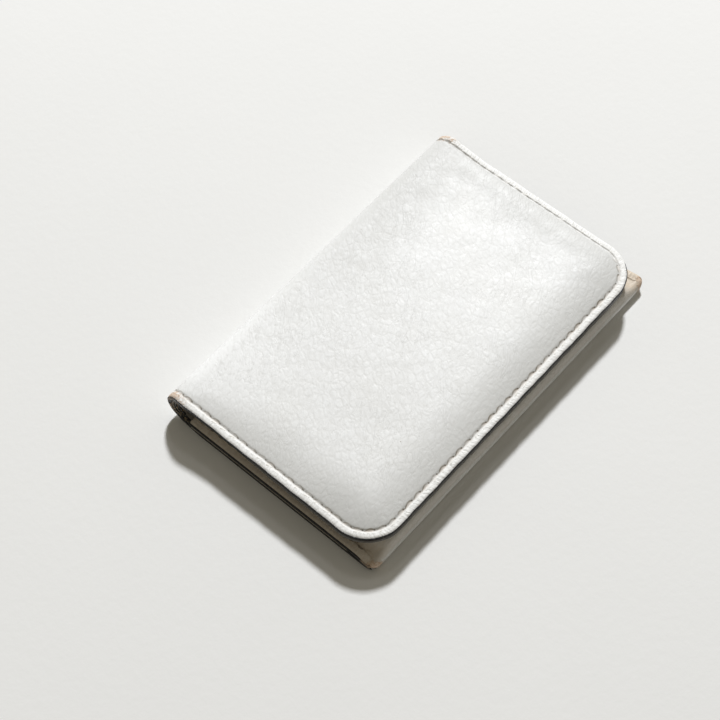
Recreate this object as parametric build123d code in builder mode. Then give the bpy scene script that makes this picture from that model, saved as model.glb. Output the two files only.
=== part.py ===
from build123d import *

import os
from math import cos, radians, sin

# A folding card case in leather. One hide lies under the case, folds up at the front, comes
# back over the cards as the pocket's front, rolls round the spine and closes as a flap.
#
# Frame: millimetres, +Z up, the case closed and lying on its back panel.
# +X runs along the long side, -Y is the front, where the flap opens, and +Y is the spine.
# The origin is under the middle of the case, on the surface that it lies on.

# Overall
CASE_LENGTH = 107.0
CASE_DEPTH = 69.5
SPINE_HEIGHT = 10.6

# Sheets
HIDE = 0.9
GUSSET = 0.4
LINING = 0.4
POCKET_LINING = 0.25
REINFORCEMENT = 0.3
SLIP_LEAF = 0.5

# Pocket
GUSSET_GAP = 0.5
GUSSET_DEPTH = 6.7
POCKET_TOP = 6.85
POCKET_MOUTH_Y = 27.0
SEAM_FLANGE = 3.5
SIDE_RAMP = 2.6
FRONT_RAMP = 3.0
RAMP_WALL = 1.0

# Flap
FLAP_LENGTH = 105.9
FLAP_DEPTH = 63.45
FLAP_CORNER = 10.5
FLAP_TILT = 0.81
FLAP_BORDER = 3.6
FLAP_CROWN = 0.7
CROWN_RAMP = 2.4
CROWN_WALL = 0.5
LINING_CROWN = 0.4
SLIP_DEPTH = 44.0
SLIP_INSET = 0.3
INNER_PLAY = 0.05

# Spine roll: the part of the half circle that the loose strip takes, and the fixed ends
SPINE_SWEEP = 120.0
ROLL_END = 24.0

# Thread
STITCH_INSET = 2.6
SEAM_STITCH_INSET = 2.0
STITCH_PITCH = 3.144
STITCH_LENGTH = 2.4
THREAD = 0.8
THREAD_PROUD = 0.3
SEAM_THREAD_PROUD = 0.2
MOUTH_STITCH_INSET = 2.2

CASE_HALF = CASE_LENGTH / 2
FLAP_HALF = FLAP_LENGTH / 2
FRONT_Y = -CASE_DEPTH / 2
SPINE_RADIUS = SPINE_HEIGHT / 2
SPINE_Y = CASE_DEPTH / 2 - SPINE_RADIUS
SPINE_CENTRE = (SPINE_Y, SPINE_RADIUS)
GUSSET_HEIGHT = 2 * GUSSET + GUSSET_GAP
SEAM_HEIGHT = 2 * HIDE + GUSSET_HEIGHT
FOLD_RADIUS = SEAM_HEIGHT / 2
FOLD_Y = FRONT_Y + FOLD_RADIUS
LINING_HALF = CASE_HALF - GUSSET_DEPTH - 0.2

# The flap's sheets lie in a plane that falls a little towards the front. Its local origin is
# on the spine's line, under the hide's border, and local -Y runs towards the front.
FLAP_PLANE = Plane(
    origin=(0, SPINE_Y, SPINE_HEIGHT - HIDE - FLAP_CROWN),
    x_dir=(1, 0, 0),
    z_dir=(0, -sin(radians(FLAP_TILT)), cos(radians(FLAP_TILT))),
)

os.makedirs("parts", exist_ok=True)


def block(x_low, x_high, y_low, y_high):
    """A rectangle given by its edges."""
    with BuildSketch() as outline:
        with Locations(((x_low + x_high) / 2, (y_low + y_high) / 2)):
            Rectangle(x_high - x_low, y_high - y_low)
    return outline.sketch


def ring_sector(inner, outer, start, sweep, centre=SPINE_CENTRE):
    """A piece of a ring, seen along X: a sheet rolled about a centre."""
    with BuildSketch() as sector:
        with BuildLine():
            outside = CenterArc(centre, outer, start, sweep)
            inside = CenterArc(centre, inner, start, sweep)
            Line(outside @ 0, inside @ 0)
            Line(outside @ 1, inside @ 1)
        make_face()
    return sector.sketch


def flap_outline(inset, back=0.0):
    """The flap's outline, square at the back and rounded at its two front corners."""
    half = FLAP_HALF - inset
    front = inset - FLAP_DEPTH
    corner = max(FLAP_CORNER - inset, 1.0)
    with BuildSketch() as outline:
        with BuildLine():
            FilletPolyline((half, back), (half, front), (-half, front), (-half, back), radius=corner)
            Line((-half, back), (half, back))
        make_face()
    return outline.sketch


def crown_inset(height):
    """How far the crown's inner wall stands in from the flap's edge at a height."""
    return FLAP_BORDER + CROWN_WALL + CROWN_RAMP * height / FLAP_CROWN


def crown_block(base, height, low_inset, high_inset):
    """A low block with sloping sides, standing on the flap's plane at a height of base."""
    with BuildPart() as crown:
        with BuildSketch(FLAP_PLANE.offset(base)):
            add(flap_outline(low_inset))
        with BuildSketch(FLAP_PLANE.offset(base + height)):
            add(flap_outline(high_inset))
        loft(ruled=True)
    return crown.part


def pocket_block(base, top, inset):
    """The bulge of the pocket's front: sloping at the sides and the front, cut at the mouth."""
    low_half = CASE_HALF - SEAM_FLANGE - inset
    with BuildPart() as bulge:
        with BuildSketch(Plane.XY.offset(base)):
            add(block(-low_half, low_half, FOLD_Y + inset, POCKET_MOUTH_Y))
        with BuildSketch(Plane.XY.offset(top)):
            high_half = low_half - SIDE_RAMP
            add(block(-high_half, high_half, FOLD_Y + inset + FRONT_RAMP, POCKET_MOUTH_Y))
        loft(ruled=True)
    return bulge.part


# Hide under the case, with the start of the roll up into the spine
with BuildPart() as back_panel:
    with BuildSketch(Plane.XY):
        add(block(-CASE_HALF, CASE_HALF, FOLD_Y, SPINE_Y))
    extrude(amount=HIDE)
    with BuildSketch(Plane.YZ):
        add(ring_sector(SPINE_RADIUS - HIDE, SPINE_RADIUS, -90, ROLL_END))
    extrude(amount=FLAP_HALF, both=True)

# Lining on the inside of the back panel, between the two gussets
with BuildPart() as back_lining:
    with BuildSketch(Plane.XY.offset(HIDE)):
        add(block(-LINING_HALF, LINING_HALF, FOLD_Y, SPINE_Y))
    extrude(amount=LINING)

# The fold along the front, where the hide turns back over the cards
with BuildPart() as front_fold:
    with BuildSketch(Plane.YZ):
        add(ring_sector(FOLD_RADIUS - HIDE, FOLD_RADIUS, 90, 180, (FOLD_Y, FOLD_RADIUS)))
    extrude(amount=CASE_HALF, both=True)

# The pocket's front: flat along the two side seams, and raised over the cards
with BuildPart() as pocket_front:
    with BuildSketch(Plane.XY.offset(SEAM_HEIGHT - HIDE)):
        add(block(-CASE_HALF, CASE_HALF, FOLD_Y, POCKET_MOUTH_Y))
    extrude(amount=HIDE)
    add(pocket_block(SEAM_HEIGHT, POCKET_TOP, 0))
    add(pocket_block(SEAM_HEIGHT - HIDE, POCKET_TOP - HIDE, RAMP_WALL), mode=Mode.SUBTRACT)

with BuildPart() as pocket_lining:
    lining_half = CASE_HALF - SEAM_FLANGE - SIDE_RAMP - RAMP_WALL - INNER_PLAY
    lining_front = FOLD_Y + FRONT_RAMP + RAMP_WALL + INNER_PLAY
    with BuildSketch(Plane.XY.offset(POCKET_TOP - HIDE - POCKET_LINING)):
        add(block(-lining_half, lining_half, lining_front, POCKET_MOUTH_Y))
    extrude(amount=POCKET_LINING)

# A gusset in each side seam: one strip folded in two, its fold towards the cards
GUSSET_CENTRE = (CASE_HALF - GUSSET_DEPTH + GUSSET_HEIGHT / 2, HIDE + GUSSET_HEIGHT / 2)
with BuildPart() as gusset_right:
    with BuildSketch(Plane.XZ.offset(-POCKET_MOUTH_Y)):
        add(ring_sector(GUSSET_GAP / 2, GUSSET_HEIGHT / 2, 90, 180, GUSSET_CENTRE))
        add(block(GUSSET_CENTRE[0], CASE_HALF, HIDE, HIDE + GUSSET))
        add(block(GUSSET_CENTRE[0], CASE_HALF, HIDE + GUSSET + GUSSET_GAP, HIDE + GUSSET_HEIGHT))
    extrude(amount=POCKET_MOUTH_Y - FOLD_Y)

with BuildPart() as gusset_left:
    add(gusset_right.part)
    mirror(about=Plane.YZ, mode=Mode.REPLACE)

# The loose middle of the spine, and the lining behind it
with BuildPart() as spine_hide:
    with BuildSketch(Plane.YZ):
        add(ring_sector(SPINE_RADIUS - HIDE, SPINE_RADIUS, -SPINE_SWEEP / 2, SPINE_SWEEP))
    extrude(amount=FLAP_HALF, both=True)

with BuildPart() as spine_lining:
    with BuildSketch(Plane.YZ):
        lining_outside = SPINE_RADIUS - HIDE
        add(ring_sector(lining_outside - LINING, lining_outside, -SPINE_SWEEP / 2, SPINE_SWEEP))
    extrude(amount=FLAP_HALF - INNER_PLAY, both=True)

# The flap's hide: a flat stitched border round a low crown, and the end of the roll
with BuildPart() as flap_outer:
    with BuildSketch(FLAP_PLANE):
        add(flap_outline(0))
    extrude(amount=HIDE)
    add(crown_block(HIDE, FLAP_CROWN, FLAP_BORDER, FLAP_BORDER + CROWN_RAMP))
    add(crown_block(0, FLAP_CROWN, crown_inset(0), crown_inset(FLAP_CROWN)), mode=Mode.SUBTRACT)
    with BuildSketch(Plane.YZ):
        add(ring_sector(SPINE_RADIUS - HIDE, SPINE_RADIUS, 90 - ROLL_END, ROLL_END + FLAP_TILT))
    extrude(amount=FLAP_HALF, both=True)

# A thin board that keeps the crown in shape, glued between the hide and the lining
with BuildPart() as flap_reinforcement:
    with BuildSketch(FLAP_PLANE.offset(LINING_CROWN)):
        add(flap_outline(crown_inset(FLAP_CROWN) + INNER_PLAY))
    extrude(amount=REINFORCEMENT)

with BuildPart() as flap_lining:
    low_inset = crown_inset(0) + INNER_PLAY
    high_inset = crown_inset(LINING_CROWN) + INNER_PLAY
    with BuildSketch(FLAP_PLANE.offset(-LINING)):
        add(flap_outline(0))
    extrude(amount=LINING)
    add(crown_block(0, LINING_CROWN, low_inset, high_inset))
    hollow_insets = (low_inset + CROWN_WALL, high_inset + CROWN_WALL)
    add(crown_block(-LINING, LINING_CROWN, *hollow_insets), mode=Mode.SUBTRACT)

# The slip pocket inside the flap: a flat leaf whose mouth faces the spine
with BuildPart() as flap_slip_pocket:
    with BuildSketch(FLAP_PLANE.offset(-LINING - SLIP_LEAF)):
        add(flap_outline(SLIP_INSET, SLIP_DEPTH - FLAP_DEPTH))
    extrude(amount=SLIP_LEAF)

# Thread along the flap's three free sides, every stitch a separate rounded bar
STRAIGHT_FRONT = FLAP_LENGTH - 2 * FLAP_CORNER
FRONT_STITCHES = round(STRAIGHT_FRONT / STITCH_PITCH)
SIDE_STITCHES = 16
CORNER_STITCHES = 4
CORNER_STEP = 90 / CORNER_STITCHES
with BuildPart() as flap_stitches:
    with BuildSketch(FLAP_PLANE.offset(HIDE)):
        with Locations((0, STITCH_INSET - FLAP_DEPTH)):
            with GridLocations(STITCH_PITCH, 1, FRONT_STITCHES, 1):
                SlotOverall(STITCH_LENGTH, THREAD)
        side_middle = FLAP_CORNER - FLAP_DEPTH + SIDE_STITCHES * STITCH_PITCH / 2
        for side in (-1, 1):
            with Locations((side * (FLAP_HALF - STITCH_INSET), side_middle)):
                with GridLocations(1, STITCH_PITCH, 1, SIDE_STITCHES):
                    SlotOverall(STITCH_LENGTH, THREAD, rotation=90)
            with Locations((side * (FLAP_HALF - FLAP_CORNER), FLAP_CORNER - FLAP_DEPTH)):
                radius = FLAP_CORNER - STITCH_INSET
                first = (-90 if side > 0 else 180) + CORNER_STEP / 2
                with PolarLocations(radius, CORNER_STITCHES, first, 90 - CORNER_STEP, endpoint=True):
                    SlotOverall(STITCH_LENGTH, THREAD, rotation=90)
    extrude(amount=THREAD_PROUD)


def seam_row(side, surface):
    """A row of stitches along one side seam of the pocket, on a surface at a height."""
    count = int((POCKET_MOUTH_Y - FOLD_Y) / STITCH_PITCH)
    with BuildPart() as row:
        with BuildSketch(Plane.XY.offset(surface)):
            with Locations((side * (CASE_HALF - SEAM_STITCH_INSET), (POCKET_MOUTH_Y + FOLD_Y) / 2)):
                with GridLocations(1, STITCH_PITCH, 1, count):
                    SlotOverall(STITCH_LENGTH, THREAD, rotation=90)
        extrude(amount=SEAM_THREAD_PROUD)
    return row.part


# Each side of the pocket has two seams: gusset to back panel, and gusset to pocket front
with BuildPart() as back_stitches_left:
    add(seam_row(-1, HIDE + GUSSET))

with BuildPart() as back_stitches_right:
    add(seam_row(1, HIDE + GUSSET))

with BuildPart() as pocket_stitches_left:
    add(seam_row(-1, SEAM_HEIGHT))

with BuildPart() as pocket_stitches_right:
    add(seam_row(1, SEAM_HEIGHT))

# The row along the mouth that holds the pocket's lining
with BuildPart() as mouth_stitches:
    with BuildSketch(Plane.XY.offset(POCKET_TOP)):
        with Locations((0, POCKET_MOUTH_Y - MOUTH_STITCH_INSET)):
            with GridLocations(STITCH_PITCH, 1, int(2 * lining_half / STITCH_PITCH), 1):
                SlotOverall(STITCH_LENGTH, THREAD)
    extrude(amount=SEAM_THREAD_PROUD)

pieces = {
    "back_panel": back_panel,
    "back_lining": back_lining,
    "front_fold": front_fold,
    "pocket_front": pocket_front,
    "pocket_lining": pocket_lining,
    "gusset_left": gusset_left,
    "gusset_right": gusset_right,
    "back_stitches_left": back_stitches_left,
    "back_stitches_right": back_stitches_right,
    "pocket_stitches_left": pocket_stitches_left,
    "pocket_stitches_right": pocket_stitches_right,
    "mouth_stitches": mouth_stitches,
    "spine_hide": spine_hide,
    "spine_lining": spine_lining,
    "flap_outer": flap_outer,
    "flap_reinforcement": flap_reinforcement,
    "flap_lining": flap_lining,
    "flap_slip_pocket": flap_slip_pocket,
    "flap_stitches": flap_stitches,
}
for name, piece in pieces.items():
    piece.part.label = name
    export_step(piece.part, f"parts/{name}.step")
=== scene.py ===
"""The looks of a folding leather card case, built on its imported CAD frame.

Every sheet of leather is a grid in its own flat coordinates: u along the case, v from the
middle of the spine outwards. A surface function rolls that flat sheet into place, and the
sheet's two faces, painted edges and thread all come from the same function, so they meet.
Lengths are millimetres until a mesh is made, because leather goods are drawn in them.
"""

import math

import bmesh
import bpy
import numpy as np
from mathutils import Matrix, Vector


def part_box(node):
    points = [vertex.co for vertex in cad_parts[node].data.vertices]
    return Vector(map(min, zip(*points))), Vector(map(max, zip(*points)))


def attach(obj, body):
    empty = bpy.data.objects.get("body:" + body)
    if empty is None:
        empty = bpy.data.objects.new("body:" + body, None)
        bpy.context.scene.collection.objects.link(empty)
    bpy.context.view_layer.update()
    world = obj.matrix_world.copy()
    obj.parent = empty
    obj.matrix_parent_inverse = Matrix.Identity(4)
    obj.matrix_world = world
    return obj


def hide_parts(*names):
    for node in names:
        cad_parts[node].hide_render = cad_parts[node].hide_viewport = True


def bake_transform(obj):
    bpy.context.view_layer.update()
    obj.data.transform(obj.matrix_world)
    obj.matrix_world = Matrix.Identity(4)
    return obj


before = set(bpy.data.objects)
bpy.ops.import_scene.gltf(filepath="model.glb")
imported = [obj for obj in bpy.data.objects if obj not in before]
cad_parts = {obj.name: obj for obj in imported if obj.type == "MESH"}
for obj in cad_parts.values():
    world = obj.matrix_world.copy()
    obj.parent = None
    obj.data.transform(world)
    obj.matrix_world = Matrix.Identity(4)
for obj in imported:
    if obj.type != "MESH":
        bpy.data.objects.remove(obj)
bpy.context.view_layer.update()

MM = 0.001


# ---------------------------------------------------------------- sizes, from the frame

def box_mm(node):
    """A node's lowest and highest corners in millimetres."""
    low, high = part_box(node)
    return np.array(low) / MM, np.array(high) / MM


_, back_high = box_mm("back_panel")
fold_low, fold_high = box_mm("front_fold")
flap_low, flap_high = box_mm("flap_outer")
_, spine_high = box_mm("spine_hide")
_, pocket_high = box_mm("pocket_front")
lining_low, lining_high = box_mm("back_lining")
gusset_low, _ = box_mm("gusset_right")
_, leaf_high = box_mm("flap_slip_pocket")

CASE_HALF = back_high[0]
FLAP_HALF = flap_high[0]
HIDE = lining_low[2]
LINING = lining_high[2] - lining_low[2]
EDGE = HIDE + LINING
SPINE_R = flap_high[2] / 2
SPINE_Y = spine_high[1] - SPINE_R
SEAM_TOP = fold_high[2]
FOLD_R = SEAM_TOP / 2
FOLD_Y = fold_low[1] + FOLD_R
MOUTH_Y = pocket_high[1]
POCKET_RISE = pocket_high[2] - SEAM_TOP

# The flap's plane falls by this angle towards its front edge
FLAP_TILT = math.radians(0.81)
FLAP_CORNER = 10.5
# The border lies this far below the flap's crown, and the crown takes this far in to rise
FLAP_DROP = 0.7
CROWN_REACH = 14.5
# The slip pocket's leaf inside the flap
LEAF_INSET = 0.25
LEAF_THICK = 0.5

# Places along v: the roll's two ends, the flap's front edge, the front fold and the mouth
ROLL = SPINE_R * (math.pi / 2 + FLAP_TILT)
FLAP_V = ROLL + (SPINE_Y - flap_low[1]) / math.cos(FLAP_TILT)
BACK_V = SPINE_R * math.pi / 2
FOLD_V = BACK_V + SPINE_Y - FOLD_Y
TOP_V = FOLD_V + math.pi * FOLD_R
MOUTH_V = TOP_V + MOUTH_Y - FOLD_Y
LEAF_V = ROLL + SPINE_Y - leaf_high[1]

# Thread: how far in from the flap's edge, the case's sides and the mouth, from stitch to stitch,
# and a stitch's length and its slant over half of that
STITCH_INSET = 1.62
CASE_INSET = 2.25
MOUTH_INSET = 2.2
STITCH_PITCH = 3.1
STITCH_LENGTH = 2.7
STITCH_SLANT = -0.22
# Its radius, its height as a share of its width, and its twisted plies: their number, depth
# and turn in radians a millimetre
THREAD_RADIUS = 0.45
THREAD_HEIGHT = 0.82
PLIES = 3
PLY_DEPTH = 0.09
PLY_TURN = 5.2
THREAD_AROUND = 9
THREAD_ALONG = 12
THREAD_SEED = 400

# The centres of the flap's two front corners, and the radius of the stitches round them
CORNER_U = FLAP_HALF - FLAP_CORNER
CORNER_V = FLAP_V - FLAP_CORNER
BEND = FLAP_CORNER - STITCH_INSET

# Beads of edge paint: facets round the outer half, points in the whole section, and how far
# the section reaches back over the sheet
BEAD_SIDES = 8
BEAD_RING = BEAD_SIDES + 3
BEAD_LAP = 0.12

# Turned-in layers at the spine's ends: how many, how thick, how far in from the end they
# reach, and how far they run on beyond the roll
SPINE_LAYERS = 3
LAYER_THICK = 0.80
LAYER_REACH = 3.0
LAYER_RUN = 2.6

# The pocket's lining and the gusset's leather
POCKET_LINING = 0.25
GUSSET = 0.38

# How far apart a sheet's two faces lie in the materials' patterns, so that they differ
FACES_APART = 40

SIDES = {"left": -1, "right": 1}


# ---------------------------------------------------------------- shaping functions

def smooth(x):
    """Smoothstep of x, held between 0 and 1."""
    x = np.clip(x, 0, 1)
    return x * x * (3 - 2 * x)


def bump(x, centre, width):
    """A soft bump of height 1."""
    return np.exp(-(((x - centre) / width) ** 2))


def waves(u, v, seed, octaves, size):
    """Smooth seeded unevenness between about -1 and 1, features of about size mm."""
    rng = np.random.default_rng(seed)
    total = np.zeros(np.broadcast(u, v).shape)
    weight = 0.0
    for octave in range(octaves):
        for _ in range(4):
            angle = rng.uniform(0, 2 * math.pi)
            turn = 2 * math.pi / (size / 1.8**octave) * rng.uniform(0.7, 1.3)
            phase = rng.uniform(0, 2 * math.pi)
            total += 0.62**octave * np.sin(turn * (u * np.cos(angle) + v * np.sin(angle)) + phase)
        weight += 2.2 * 0.62**octave
    return total / weight


def flap_edge(u, v):
    """Distance d in from the flap's three free sides, and s along its row of stitches."""
    over_u = np.abs(u) - CORNER_U
    over_v = v - CORNER_V
    in_corner = (over_u > 0) & (over_v > 0)
    reach = np.hypot(np.maximum(over_u, 0), np.maximum(over_v, 0))
    d = np.where(in_corner, FLAP_CORNER - reach, np.minimum(FLAP_CORNER - over_u, FLAP_CORNER - over_v))
    turn = np.where(in_corner, np.arctan2(np.maximum(over_v, 1e-9), np.maximum(over_u, 1e-9)), 0.0)
    along_side = np.minimum(v, CORNER_V) + BEND * turn
    along_front = CORNER_V + BEND * math.pi / 2 + (CORNER_U - np.abs(u))
    on_front = (over_u <= 0) & (over_v > over_u)
    s = np.where(on_front, along_front, along_side)
    half_row = CORNER_V + BEND * math.pi / 2 + CORNER_U
    return d, np.where(u > 0, 2 * half_row - s, s)


# The flap's row of stitches: its length, and a whole number of stitches along it
ROW = 2 * (CORNER_V + BEND * math.pi / 2 + FLAP_HALF - FLAP_CORNER)
FLAP_STITCHES = round(ROW / STITCH_PITCH)
FLAP_PITCH = ROW / FLAP_STITCHES


def flap_drop(u, v):
    """How far the flap's surface lies below its rolled sheet: deepest along the three free sides,
    nothing at the spine. Its flat crown is level, so the sheet's own tilt is taken back there."""
    d, _ = flap_edge(u, v)
    away = smooth((v - ROLL + 1) / 13)
    right_hand = smooth((FLAP_V - v - FLAP_HALF + u + 6) / 18)
    inside = np.clip((d - STITCH_INSET) / (CROWN_REACH - 8.5 * right_hand), 0, 1)
    crown = 1 - (1 - inside) ** 2.7
    tilt = np.maximum(v - ROLL, 0) * math.sin(FLAP_TILT)
    return away * FLAP_DROP * (1 - crown) - 0.93 * tilt * crown


def border_detail(d, along, inset=STITCH_INSET):
    """Relief along any stitched border: a full rim level with the thread, a step down to it from
    inside that pits at every needle hole, a rounded edge."""
    rim = -0.12 * smooth(d / 0.8) * (1 - smooth((d - inset + 0.2) / 0.5))
    step = 0.07 * (1 - smooth((d - inset - 0.3) / 1.1))
    pits = 0.5 - 0.5 * np.cos(2 * math.pi * along)
    crease = (0.09 + 0.13 * pits) * bump(d, inset + 0.52, 0.25)
    rounding = 0.20 * np.clip(1 - d / 0.55, 0, 1) ** 2
    return rim + step + crease + rounding


def flap_detail(u, v):
    """The leather's own relief, down from the smooth surface."""
    d, s = flap_edge(u, v)
    slack = 0.05 * waves(u, v, 5, octaves=3, size=30) * smooth((d - 3) / 8) * smooth(v / 12)
    pucker = 0.10 * waves(u, v * 0.6, 9, octaves=2, size=7) * smooth(v / 4)
    near_roll = bump(v, ROLL + 1, 5.5) * (1 - smooth((d - 1.5) / 9))
    return border_detail(d, s / FLAP_PITCH) + slack + pucker * near_roll


def flap_base(u, v, depth):
    """The rolled flap sheet: depth is measured in from the outside of the hide."""
    theta = np.minimum(v / SPINE_R, math.pi / 2 + FLAP_TILT)
    beyond = np.maximum(v - ROLL, 0)
    y = SPINE_Y + (SPINE_R - depth) * np.cos(theta) - beyond * math.cos(FLAP_TILT)
    z = SPINE_R + (SPINE_R - depth) * np.sin(theta) - beyond * math.sin(FLAP_TILT)
    # The two ends of the roll are spread, and the cut edge is a little uneven
    at_end = smooth((np.abs(u) - FLAP_HALF + 5) / 5)
    spread_out = 0.3 * bump(v, ROLL + 1, 4.5) + 0.07 * np.sin(0.61 * v + 2) * np.sin(0.23 * v)
    y = y - 0.07 * smooth((v - FLAP_V + 5) / 5) * np.sin(0.37 * u) * np.sin(0.83 * u + 1)
    return np.stack([u + np.sign(u) * at_end * spread_out + 0 * y, y, z], -1)


def flap_skin(u, v):
    """The flap's outside, with all its relief."""
    return flap_base(u, v, flap_drop(u, v) + flap_detail(u, v))


def flap_layer(depth):
    """A surface that follows the flap's crown at a depth under the hide's outside."""
    def surface(u, v):
        return flap_base(u, v, flap_drop(u, v) + depth)
    return surface


def flap_flat(depth):
    """A flat surface under the crown, as the slip pocket's leaf lies."""
    def surface(u, v):
        return flap_base(u, v, FLAP_DROP + depth + 0 * u)
    return surface


def pocket_bulge(u, v):
    """How far the cards lift the pocket's front: at once behind the fold, and softly in from
    the side seams."""
    side = smooth((CASE_HALF - np.abs(u) - 2.9) / 4.6)
    climb = np.clip((v - TOP_V + FOLD_R * math.pi / 4) / 9.5, 0, 1)
    return POCKET_RISE * side * (1 - (1 - climb) ** 2)


def case_base(u, v):
    """The case's hide: down the spine, under the case, round the front fold, over the cards."""
    theta = -np.minimum(v / SPINE_R, math.pi / 2)
    fold = np.clip((v - FOLD_V) / FOLD_R, 0, math.pi)
    under = np.clip(v - BACK_V, 0, FOLD_V - BACK_V)
    over = np.maximum(v - TOP_V, 0)
    y = SPINE_Y + SPINE_R * np.cos(theta) - under - FOLD_R * np.sin(fold) + over
    z = SPINE_R + SPINE_R * np.sin(theta) + FOLD_R * (1 - np.cos(fold))
    z = z + pocket_bulge(u, v)
    return np.stack([u + 0 * y, y, z], -1)


def normals_of(surface, u, v):
    """Which way is out at each point. The case's sheet is laid the other way up: its side is -1."""
    step = 0.02
    along_u = surface(u + step, v) - surface(u - step, v)
    along_v = surface(u, v + step) - surface(u, v - step)
    n = np.cross(along_v, along_u) * getattr(surface, "side", 1.0)
    return n / np.linalg.norm(n, axis=-1, keepdims=True)


case_base.side = -1.0


def offset(surface, depth):
    """The surface moved in by a depth along its own normal."""
    def moved(u, v):
        return surface(u, v) - depth * normals_of(surface, u, v)
    moved.side = getattr(surface, "side", 1.0)
    return moved


def case_detail(u, v):
    """Relief along the case hide's stitched side edges. The thread stops short of the front fold."""
    d = case_half(v) - np.abs(u)
    border = border_detail(d, v / STITCH_PITCH, CASE_INSET)
    under = smooth((FOLD_V + 1 - v) / 2)
    over = smooth((v - TOP_V - 1) / 2)
    pressed = 0.07 * smooth((v - BACK_V + 2) / 4) * under
    return border * (under + over) + pressed + 0.3 * np.clip(1 - d / 0.9, 0, 1) ** 2 * (1 - under - over)


def case_half(v):
    """Half the case hide's width: as wide as the flap at the spine, a little wider beyond."""
    rubbed = 1.3 * bump(v, FOLD_V + FOLD_R * 1.2, 1.6) - 0.35 * bump(v, TOP_V + 0.8, 2.2)
    return FLAP_HALF + (CASE_HALF - 0.1 - FLAP_HALF) * smooth((v - BACK_V + 3) / 9) - rubbed


def case_skin(u, v):
    """The case hide's outside, with all its relief."""
    return case_base(u, v) - case_detail(u, v)[..., None] * normals_of(case_base, u, v)


case_skin.side = -1.0


# ---------------------------------------------------------------- grids

def steps(first, *stops):
    """Positions along a line, from its first place through (end, spacing) stops."""
    line = [first]
    for end, spacing in stops:
        count = max(1, round((end - line[-1]) / spacing))
        line += list(np.linspace(line[-1], end, count + 1)[1:])
    return np.array(line)


BORDER = steps(0, (0.1, 0.1), (0.4, 0.15), (5.2, 0.3))
# Columns across half a sheet, inside its border: with relief of its own, and without
FINE = 96
PLAIN = 48


def grid(rows, half_at, inner_count=FINE):
    """u and v of a sheet whose half width at each v is half_at(v), finest along its sides."""
    rows = np.asarray(rows, float)
    inner = np.linspace(0, 1, inner_count + 1)
    columns = []
    for w in half_at(rows):
        right = np.concatenate([inner * (w - BORDER[-1]), w - BORDER[::-1][1:]])
        columns.append(np.concatenate([-right[:0:-1], right]))
    u = np.array(columns)
    return u, np.repeat(rows[:, None], u.shape[1], 1)


def flap_half_at(inset=0.0):
    """The flap's half width at v, its front corners rounded."""
    def half_at(v):
        radius = FLAP_CORNER - inset
        over = np.clip(v - CORNER_V, 0, radius)
        return CORNER_U + np.sqrt(np.maximum(radius**2 - over**2, 0))
    return half_at


def flap_rows(start=0.0, inset=0.0):
    """Places along v for a sheet of the flap, finest along its front edge."""
    return np.concatenate([steps(start, (FLAP_V - inset - BORDER[-1], 0.42))[:-1],
                           FLAP_V - inset - BORDER[::-1]])


# ---------------------------------------------------------------- meshes

def finish_mesh(name, verts, faces, material):
    """A smooth-shaded object from corners in millimetres."""
    mesh = bpy.data.meshes.new(name)
    mesh.from_pydata((np.asarray(verts) * MM).tolist(), [], faces)
    mesh.polygons.foreach_set("use_smooth", [True] * len(mesh.polygons))
    mesh.materials.append(material)
    piece = bpy.data.objects.new(name, mesh)
    bpy.context.scene.collection.objects.link(piece)
    return piece


def grid_faces(rows, cols, first=0, flip=False):
    """The quads of a grid whose corners start at index first."""
    faces = []
    for r in range(rows - 1):
        for c in range(cols - 1):
            a = first + r * cols + c
            quad = (a, a + 1, a + cols + 1, a + cols)
            faces.append(quad[::-1] if flip else quad)
    return faces


def rim_walls(rows, cols, flip=False):
    """Quads between the outlines of a sheet's two faces, which are two grids one after the other."""
    top = list(range(cols))
    right = [r * cols + cols - 1 for r in range(1, rows)]
    bottom = [(rows - 1) * cols + c for c in range(cols - 2, -1, -1)]
    left = [r * cols for r in range(rows - 2, 0, -1)]
    rim = top + right + bottom + left
    count = rows * cols
    walls = []
    for a, b in zip(rim, rim[1:] + rim[:1]):
        quad = (a, b, b + count, a + count)
        walls.append(quad[::-1] if flip else quad)
    return walls


def shell(name, grid, outer, inner, material, wall_material=None):
    """A closed sheet between two surfaces over one grid, with exact normals on both faces."""
    u, v = grid
    rows, cols = u.shape
    count = rows * cols
    outside = outer(u, v)
    inside = inner(u, v)
    out_normal = normals_of(outer, u, v)
    in_normal = -normals_of(inner, u, v)
    middle = (rows // 2, cols // 2)
    away = outside[middle] - inside[middle]
    flip = float(np.dot(out_normal[middle], away)) < 0
    if flip:
        out_normal, in_normal = -out_normal, -in_normal
    next_row = outside[middle[0] + 1, middle[1]] - outside[middle]
    next_col = outside[middle[0], middle[1] + 1] - outside[middle]
    turn = float(np.dot(np.cross(next_row, next_col), away)) > 0
    faces = grid_faces(rows, cols, 0, turn) + grid_faces(rows, cols, count, not turn)
    verts = np.concatenate([outside.reshape(-1, 3), inside.reshape(-1, 3)])
    piece = finish_mesh(name, verts, faces + rim_walls(rows, cols, not turn), material)
    mesh = piece.data
    if wall_material:
        mesh.materials.append(wall_material)
        for polygon in mesh.polygons[len(faces):]:
            polygon.material_index = 1
    normals = np.concatenate([out_normal.reshape(-1, 3), in_normal.reshape(-1, 3)])
    loops = np.empty(len(mesh.loops), int)
    mesh.loops.foreach_get("vertex_index", loops)
    per_loop = normals[loops]
    for polygon in mesh.polygons[len(faces):]:
        for i in polygon.loop_indices:
            per_loop[i] = polygon.normal
    mesh.normals_split_custom_set(per_loop.tolist())
    return piece


def give(piece, name, values):
    """Stores one number per vertex for the material to read."""
    attribute = piece.data.attributes.new(name, "FLOAT", "POINT")
    attribute.data.foreach_set("value", np.asarray(values, np.float32).ravel())


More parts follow.
